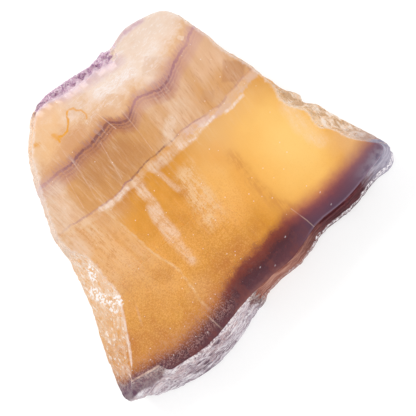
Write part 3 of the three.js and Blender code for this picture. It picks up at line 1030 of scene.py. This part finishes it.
rusty = times(span(plus(mottle, broad_fibres), 0.95, 1.2, 0.0, 0.45), span(x, 20.0, 8.0))
smoke_colour = paint(rusty, smoke_colour, srgb(124, 56, 46))
colour = paint(smoke, colour, smoke_colour)
greyed = times(span(x, 26.0, 35.0), span(below, 1.0, 5.0, 0.0, 0.95))
corner_grey = paint(span(mottle, 0.42, 0.6), srgb(110, 104, 128), srgb(160, 156, 172))
colour = paint(greyed, colour, corner_grey)
ledge = times(span(x, -23.0, -32.0), span(below, 0.5, 3.0, 0.0, 0.8))
colour = paint(ledge, colour, srgb(104, 74, 98))
bloom = times(span(grain, 0.47, 0.62), between(below, -1.0, 3.2, 1.5), span(x, -4.0, -10.0), 0.5)
bloom_colour = paint(span(below, -1.0, 1.5), srgb(204, 144, 116), srgb(204, 160, 154))
colour = paint(bloom, colour, bloom_colour)

# Cracks over everything, painted glints in the smoky base, and the places of painted highlights: cleavage
# glints and small glinting white dots.
straight_place = vector(straight[0], straight[1])
crack = times(strokes(straight_place, fine_cracks), span(mottle, 0.38, 0.58, 0.35, 1.0))
colour = paint(crack, colour, srgb(240, 208, 188))
colour = paint(strokes(straight_place, painted_speck_glints), colour, srgb(250, 240, 246))
painted_glints = times(strokes(flat_place, glints), span(cells(in_mm, 2.4, "CHEBYCHEV"), 0.48, 0.50))
painted_glints = larger(painted_glints, times(dots(in_mm, 0.7, 0.10, 0.4), 0.7))

tree.links.new(paint(entry["Frost"], colour, srgb(244, 232, 224)), leave["Color"])
tree.links.new(sugar, leave["Sugar"])
tree.links.new(smoke, leave["Smoke"])
tree.links.new(painted_glints, leave["Painted Glints"])


# ---- Polished face ----
# The sawn face is ground and polished to a gloss. Over the sugary base the polish breaks up into
# fine pits.

fluorite_refraction = 1.434


def fluorite(name, roughness, transmission):
    """A material whose shader has fluorite's own refraction. Returns its tree and its shader."""
    material = bpy.data.materials.new(name)
    material.use_nodes = True
    mesh.materials.append(material)
    shader = material.node_tree.nodes["Principled BSDF"]
    shader.inputs["IOR"].default_value = fluorite_refraction
    shader.inputs["Roughness"].default_value = roughness
    shader.inputs["Transmission Weight"].default_value = transmission
    return material.node_tree, shader


def use_layers(fibres, frost=0.0):
    """Places the growth layers in a material, with its own fibres and frosting."""
    return add("ShaderNodeGroup", {"Fibres": fibres, "Frost": frost}, node_tree=layers).outputs


def attribute(name):
    """An attribute of the mesh."""
    return add("ShaderNodeAttribute", attribute_name=name).outputs["Fac"]


tree, face_shader = fluorite("polished_fluorite", roughness=0.14, transmission=0.3)
face_layers = use_layers(fibres=0.36)
face_place = place_in_mm()

# Painted light: where light gets in at the rim the face is painted paler, and lilac along the druse,
# with a painted highlight along the edge where the clear edge starts.
face_noise = cloud(face_place, 0.9, 4.0, 0.6)
in_from_edge = attribute("in_from_edge")
ragged_in = roughen(in_from_edge, face_noise, -1.6)
face_not_smoky = minus(1.0, face_layers["Smoke"])
painted_rim_glow = times(span(ragged_in, 0.7, -0.1), face_not_smoky, 0.5)
face_colour = paint(painted_rim_glow, face_layers["Color"], srgb(250, 240, 234))
on_druse = span(attribute("druzy"), 0.3, 0.7)
painted_lilac_glow = times(span(ragged_in, 1.7, -0.4), on_druse, 0.7)
face_colour = paint(painted_lilac_glow, face_colour, srgb(208, 172, 192))
face_x = axes(face_place)[0]
painted_edge_highlight = times(
    span(in_from_edge, 0.6, 0.1), face_layers["Smoke"], span(face_x, 10.0, 18.0, 0.0, 0.28),
)
face_colour = paint(painted_edge_highlight, face_colour, srgb(180, 152, 172))
thinned = times(span(ragged_in, 1.1, 0.0), face_layers["Smoke"], between(face_x, -6.5, 5.0, 3.0), 0.6)
face_colour = paint(thinned, face_colour, srgb(142, 88, 80))
# Painted highlights: the layers' glints and glinting dots, painted near-white.
face_colour = paint(face_layers["Painted Glints"], face_colour, srgb(255, 252, 250))
tree.links.new(face_colour, face_shader.inputs["Base Color"])

face_pits = cloud(face_place, 2.6, 3.0, 0.6)
pit_height = times(face_pits, face_layers["Sugar"])
face_bump = add("ShaderNodeBump", {"Height": pit_height, "Strength": 0.35, "Distance": 0.2 * MM})
tree.links.new(face_bump.outputs["Normal"], face_shader.inputs["Normal"])
face_gloss = times_plus(times(face_layers["Sugar"], face_not_smoky), 0.22, 0.12)
tree.links.new(face_gloss, face_shader.inputs["Roughness"])


# ---- Clear edge ----
# Under the smoky base the slab ends in clear fluorite, cleaved smooth: pinkish where it is thin,
# dark red-brown further on and grey at the corner, with bright nicks along its foot, their white partly
# painted sparkle.

tree, clear_shader = fluorite("clear_fluorite", roughness=0.3, transmission=0.1)
clear_shader.inputs["Specular IOR Level"].default_value = 0.0
clear_place = place_in_mm()
clear_x, _, clear_z = axes(clear_place)
clear_streaks = cloud(stretch(clear_place, 0.16, 0.24, 1.0), 1.4, 4.0, 0.7, 0.4)
clear_mottle = minus(cloud(clear_place, 0.6, 5.0, 0.65), 0.5)
pink_part = paint(span(clear_streaks, 0.38, 0.62), srgb(128, 74, 64), srgb(180, 132, 116))
dark_part = paint(span(clear_streaks, 0.40, 0.65), srgb(58, 18, 26), srgb(100, 52, 58))
grey_part = paint(span(clear_streaks, 0.38, 0.62), srgb(136, 130, 148), srgb(182, 176, 190))
along_base = times_plus(clear_mottle, 8.0, clear_x)
clear_colour = paint(span(along_base, 5.0, 18.0), pink_part, dark_part)
clear_colour = paint(span(along_base, 26.5, 34.0), clear_colour, grey_part)
clear_nicks = cloud(clear_place, 1.7, 3.0, 0.7)
above_foot = times_plus(clear_mottle, 5.0, clear_z)
nicks_and_sparkle = times(
    between(above_foot, 1.4, 4.0, 0.6), span(clear_nicks, 0.49, 0.53),
    span(clear_x, 8.0, 15.0, 0.35, 1.0),
)
clear_colour = paint(nicks_and_sparkle, clear_colour, srgb(244, 238, 242))
tree.links.new(clear_colour, clear_shader.inputs["Base Color"])


# ---- Broken rim ----
# Cleaved, chipped and ridged fluorite: pale where it is bruised, with flat glints. The skirt is
# lilac-grey with long streaks, and the crust is a druse of small purple crystals.

tree, rim_shader = fluorite("broken_fluorite", roughness=0.35, transmission=0.25)
rim_shader.inputs["Specular IOR Level"].default_value = 0.35

rim_place = place_in_mm()
rim_mottle = cloud(rim_place, 0.6, 5.0, 0.65)
rim_grain = cloud(rim_place, 2.4, 3.0, 0.6)
rim_x, rim_y, rim_z = axes(rim_place)
rim_streaks = cloud(stretch(rim_place, 0.13, 0.25, 1.0), 1.7, 5.0, 0.75, 0.3)
chip_streaks = cloud(stretch(rim_place, 1.0, 0.35, 1.0), 0.9, 5.0, 0.7, 0.5)
flakes = cells(rim_place, 1.1, "MANHATTAN")
past_edge = attribute("past_edge")


def share_of(name):
    """How much of a stretch of the rim a point belongs to, with a ragged border."""
    return span(roughen(attribute(name), rim_mottle, 1.2), 0.44, 0.56)


skirt_share = share_of("skirt")
bruised = times(span(past_edge, 0.30, 0.0), span(rim_grain, 0.40, 0.62, 0.1, 0.75))
bruised = larger(bruised, span(rim_mottle, 0.45, 0.7, 0.0, 0.4))
bruised = larger(bruised, times(span(chip_streaks, 0.42, 0.66), 0.4))
left_lip = times(span(rim_x, -20.0, -24.0), span(rim_y, -4.0, 1.0), span(past_edge, 1.0, 0.9), 0.5)
bruised = larger(bruised, left_lip)
off_ledge = larger(span(rim_x, -26.0, -23.0), span(rim_y, -27.5, -25.0))
bruised = times(bruised, times_plus(off_ledge, 0.4, 0.6))
rim_layers = use_layers(fibres=0.3, frost=bruised)
rim_colour = rim_layers["Color"]

# The cleaved bevel is paler, with small scales, orange and white, drawn out along it.
pale_facet = paint(span(rim_streaks, 0.35, 0.65), srgb(232, 190, 150), srgb(246, 226, 204))
cleaved_share = times(share_of("cleaved"), minus(1.0, rim_layers["Smoke"]))
rim_colour = paint(times(cleaved_share, span(rim_y, -12.0, -20.0, 0.5, 0.3)), rim_colour, pale_facet)
scales = cloud(stretch(rim_place, 1.5, 0.6, 1.0), 1.5, 3.0, 0.6, 0.5)
on_bevel = times(cleaved_share, span(past_edge, 1.0, 0.9))
rim_colour = paint(times(span(scales, 0.46, 0.36), on_bevel, 0.7), rim_colour, srgb(232, 168, 96))
rim_colour = paint(times(span(scales, 0.56, 0.64), on_bevel, 0.8), rim_colour, srgb(252, 240, 228))

# Tan, brown-veined chips, which turn grey beside the clear corner.
chip_tone = times_plus(flakes, 0.08, times(chip_streaks, 1.08))
chip_colour = ramp(chip_tone, [
    (0.38, srgb(172, 138, 108)), (0.49, srgb(210, 176, 142)), (0.60, srgb(232, 206, 180)),
    (0.74, srgb(250, 242, 234)),
])
chip_lines = maths("ABSOLUTE", minus(chip_streaks, 0.46))
chip_colour = paint(span(chip_lines, 0.03, 0.0, 0.0, 0.6), chip_colour, srgb(142, 110, 86))
chip_colour = paint(span(rim_y, -16.0, -24.0, 0.0, 0.6), chip_colour, srgb(172, 156, 168))
chip_share = times(share_of("chipped"), span(past_edge, 0.0, 0.5, 0.45, 0.85))
rim_colour = paint(chip_share, rim_colour, chip_colour)

# The skirt is strands of lilac-grey with fine hairs drawn over them. Each layer of hairs is the
# scale of its noise, the level that it follows, its thickness, its strength and its colour.
skirt_tone = times_plus(rim_streaks, 1.2, times_plus(rim_grain, 0.05, -0.125))
skirt_tone = minus(skirt_tone, times(between(rim_x, -21.0, -14.0, 3.0), 0.06))
skirt_colour = ramp(skirt_tone, [
    (0.35, srgb(92, 66, 80)), (0.42, srgb(164, 144, 156)), (0.51, srgb(202, 188, 198)),
    (0.62, srgb(248, 244, 248)),
])
warm_skirt = times(span(rim_mottle, 0.4, 0.65), span(rim_z, 3.0, 8.0), 0.5)
skirt_colour = paint(warm_skirt, skirt_colour, srgb(204, 168, 166))
hair_place = stretch(rim_place, 0.14, 0.5, 1.0)
for scale, middle, thickness, strength, shade in (
    (1.3, 0.44, 0.035, 0.5, srgb(118, 96, 116)),
    (1.0, 0.5, 0.03, 0.75, srgb(252, 248, 252)),
    (1.7, 0.55, 0.03, 0.5, srgb(238, 230, 238)),
):
    hair = minus(cloud(hair_place, scale, 2.0, 0.5, 0.3), middle)
    hair = span(maths("ABSOLUTE", hair), thickness, 0.0, 0.0, strength)
    skirt_colour = paint(hair, skirt_colour, shade)

# Where the skirt starts below the face, as heights in Y along X.
skirt_top = [
    (-40.0, -29.8), (-33.5, -30.4), (-30.1, -30.9), (-26.4, -31.0), (-24.5, -31.7), (-14.0, -32.6),
    (-6.3, -31.4),
]
on_skirt = span(minus(follow(rim_x, skirt_top), rim_y), -0.2, 0.3)
on_skirt = larger(on_skirt, span(rim_z, 9.0, 7.5))
skirt_side = times(span(rim_y, -29.3, -30.2), span(rim_x, -20.0, -24.0))
on_skirt = times(larger(skirt_share, skirt_side), on_skirt)
# Painted shade: the skirt is painted darker blue-grey towards its foot.
skirt_colour = paint(span(rim_z, 2.4, 0.4, 0.0, 0.5), skirt_colour, srgb(116, 106, 132))
rim_colour = paint(on_skirt, rim_colour, skirt_colour)
# Near-white along the skirt's chipped top edge, partly painted sparkle.
chipped_edge_sparkle = times(on_skirt, span(past_edge, 0.16, 0.03), span(rim_grain, 0.42, 0.6))
rim_colour = paint(chipped_edge_sparkle, rim_colour, srgb(250, 244, 246))

# The druse: pink-lilac next to the face, then purple grains, with grey and white among them.
druse_grains = cells(rim_place, 3.2)
crust_tone = times_plus(rim_grain, 0.4, times(druse_grains, 0.35))
crust_tone = times_plus(rim_mottle, 0.5, minus(crust_tone, 0.16))
crust_colour = ramp(crust_tone, [
    (0.26, srgb(150, 106, 152)), (0.40, srgb(190, 146, 180)), (0.54, srgb(218, 184, 204)),
    (0.72, srgb(246, 234, 240)),
])
crust_colour = paint(span(past_edge, 0.40, 0.05, 0.0, 0.8), crust_colour, srgb(228, 204, 212))
crust_share = times(share_of("druzy"), span(times_plus(rim_mottle, 14.0, rim_z), 7.0, 10.0, 0.3, 0.95))
rim_colour = paint(crust_share, rim_colour, crust_colour)
# Painted highlights: the layers' glints and glinting dots, painted near-white.
rim_colour = paint(rim_layers["Painted Glints"], rim_colour, srgb(255, 252, 250))
tree.links.new(rim_colour, rim_shader.inputs["Base Color"])

rim_height = plus(chip_streaks, times(rim_streaks, skirt_share))
rim_bump = add("ShaderNodeBump", {"Height": rim_height, "Strength": 0.3, "Distance": 0.3 * MM})
tree.links.new(rim_bump.outputs["Normal"], rim_shader.inputs["Normal"])
tree.links.new(span(flakes, 0.0, 1.0, 0.18, 0.55, eased=False), rim_shader.inputs["Roughness"])


# ---- Sawn back ----
# The back is sawn flat and left dull, so the layers show through a fine frosting.

tree, back_shader = fluorite("sawn_fluorite", roughness=0.6, transmission=0.2)
back_layers = use_layers(fibres=0.2, frost=0.12)
tree.links.new(back_layers["Color"], back_shader.inputs["Base Color"])


# ---- Into the shared frame ----
# The stone is loose: it lies on its sawn back, and nothing on it moves.

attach(stone, "root")
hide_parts("fluorite_slab")
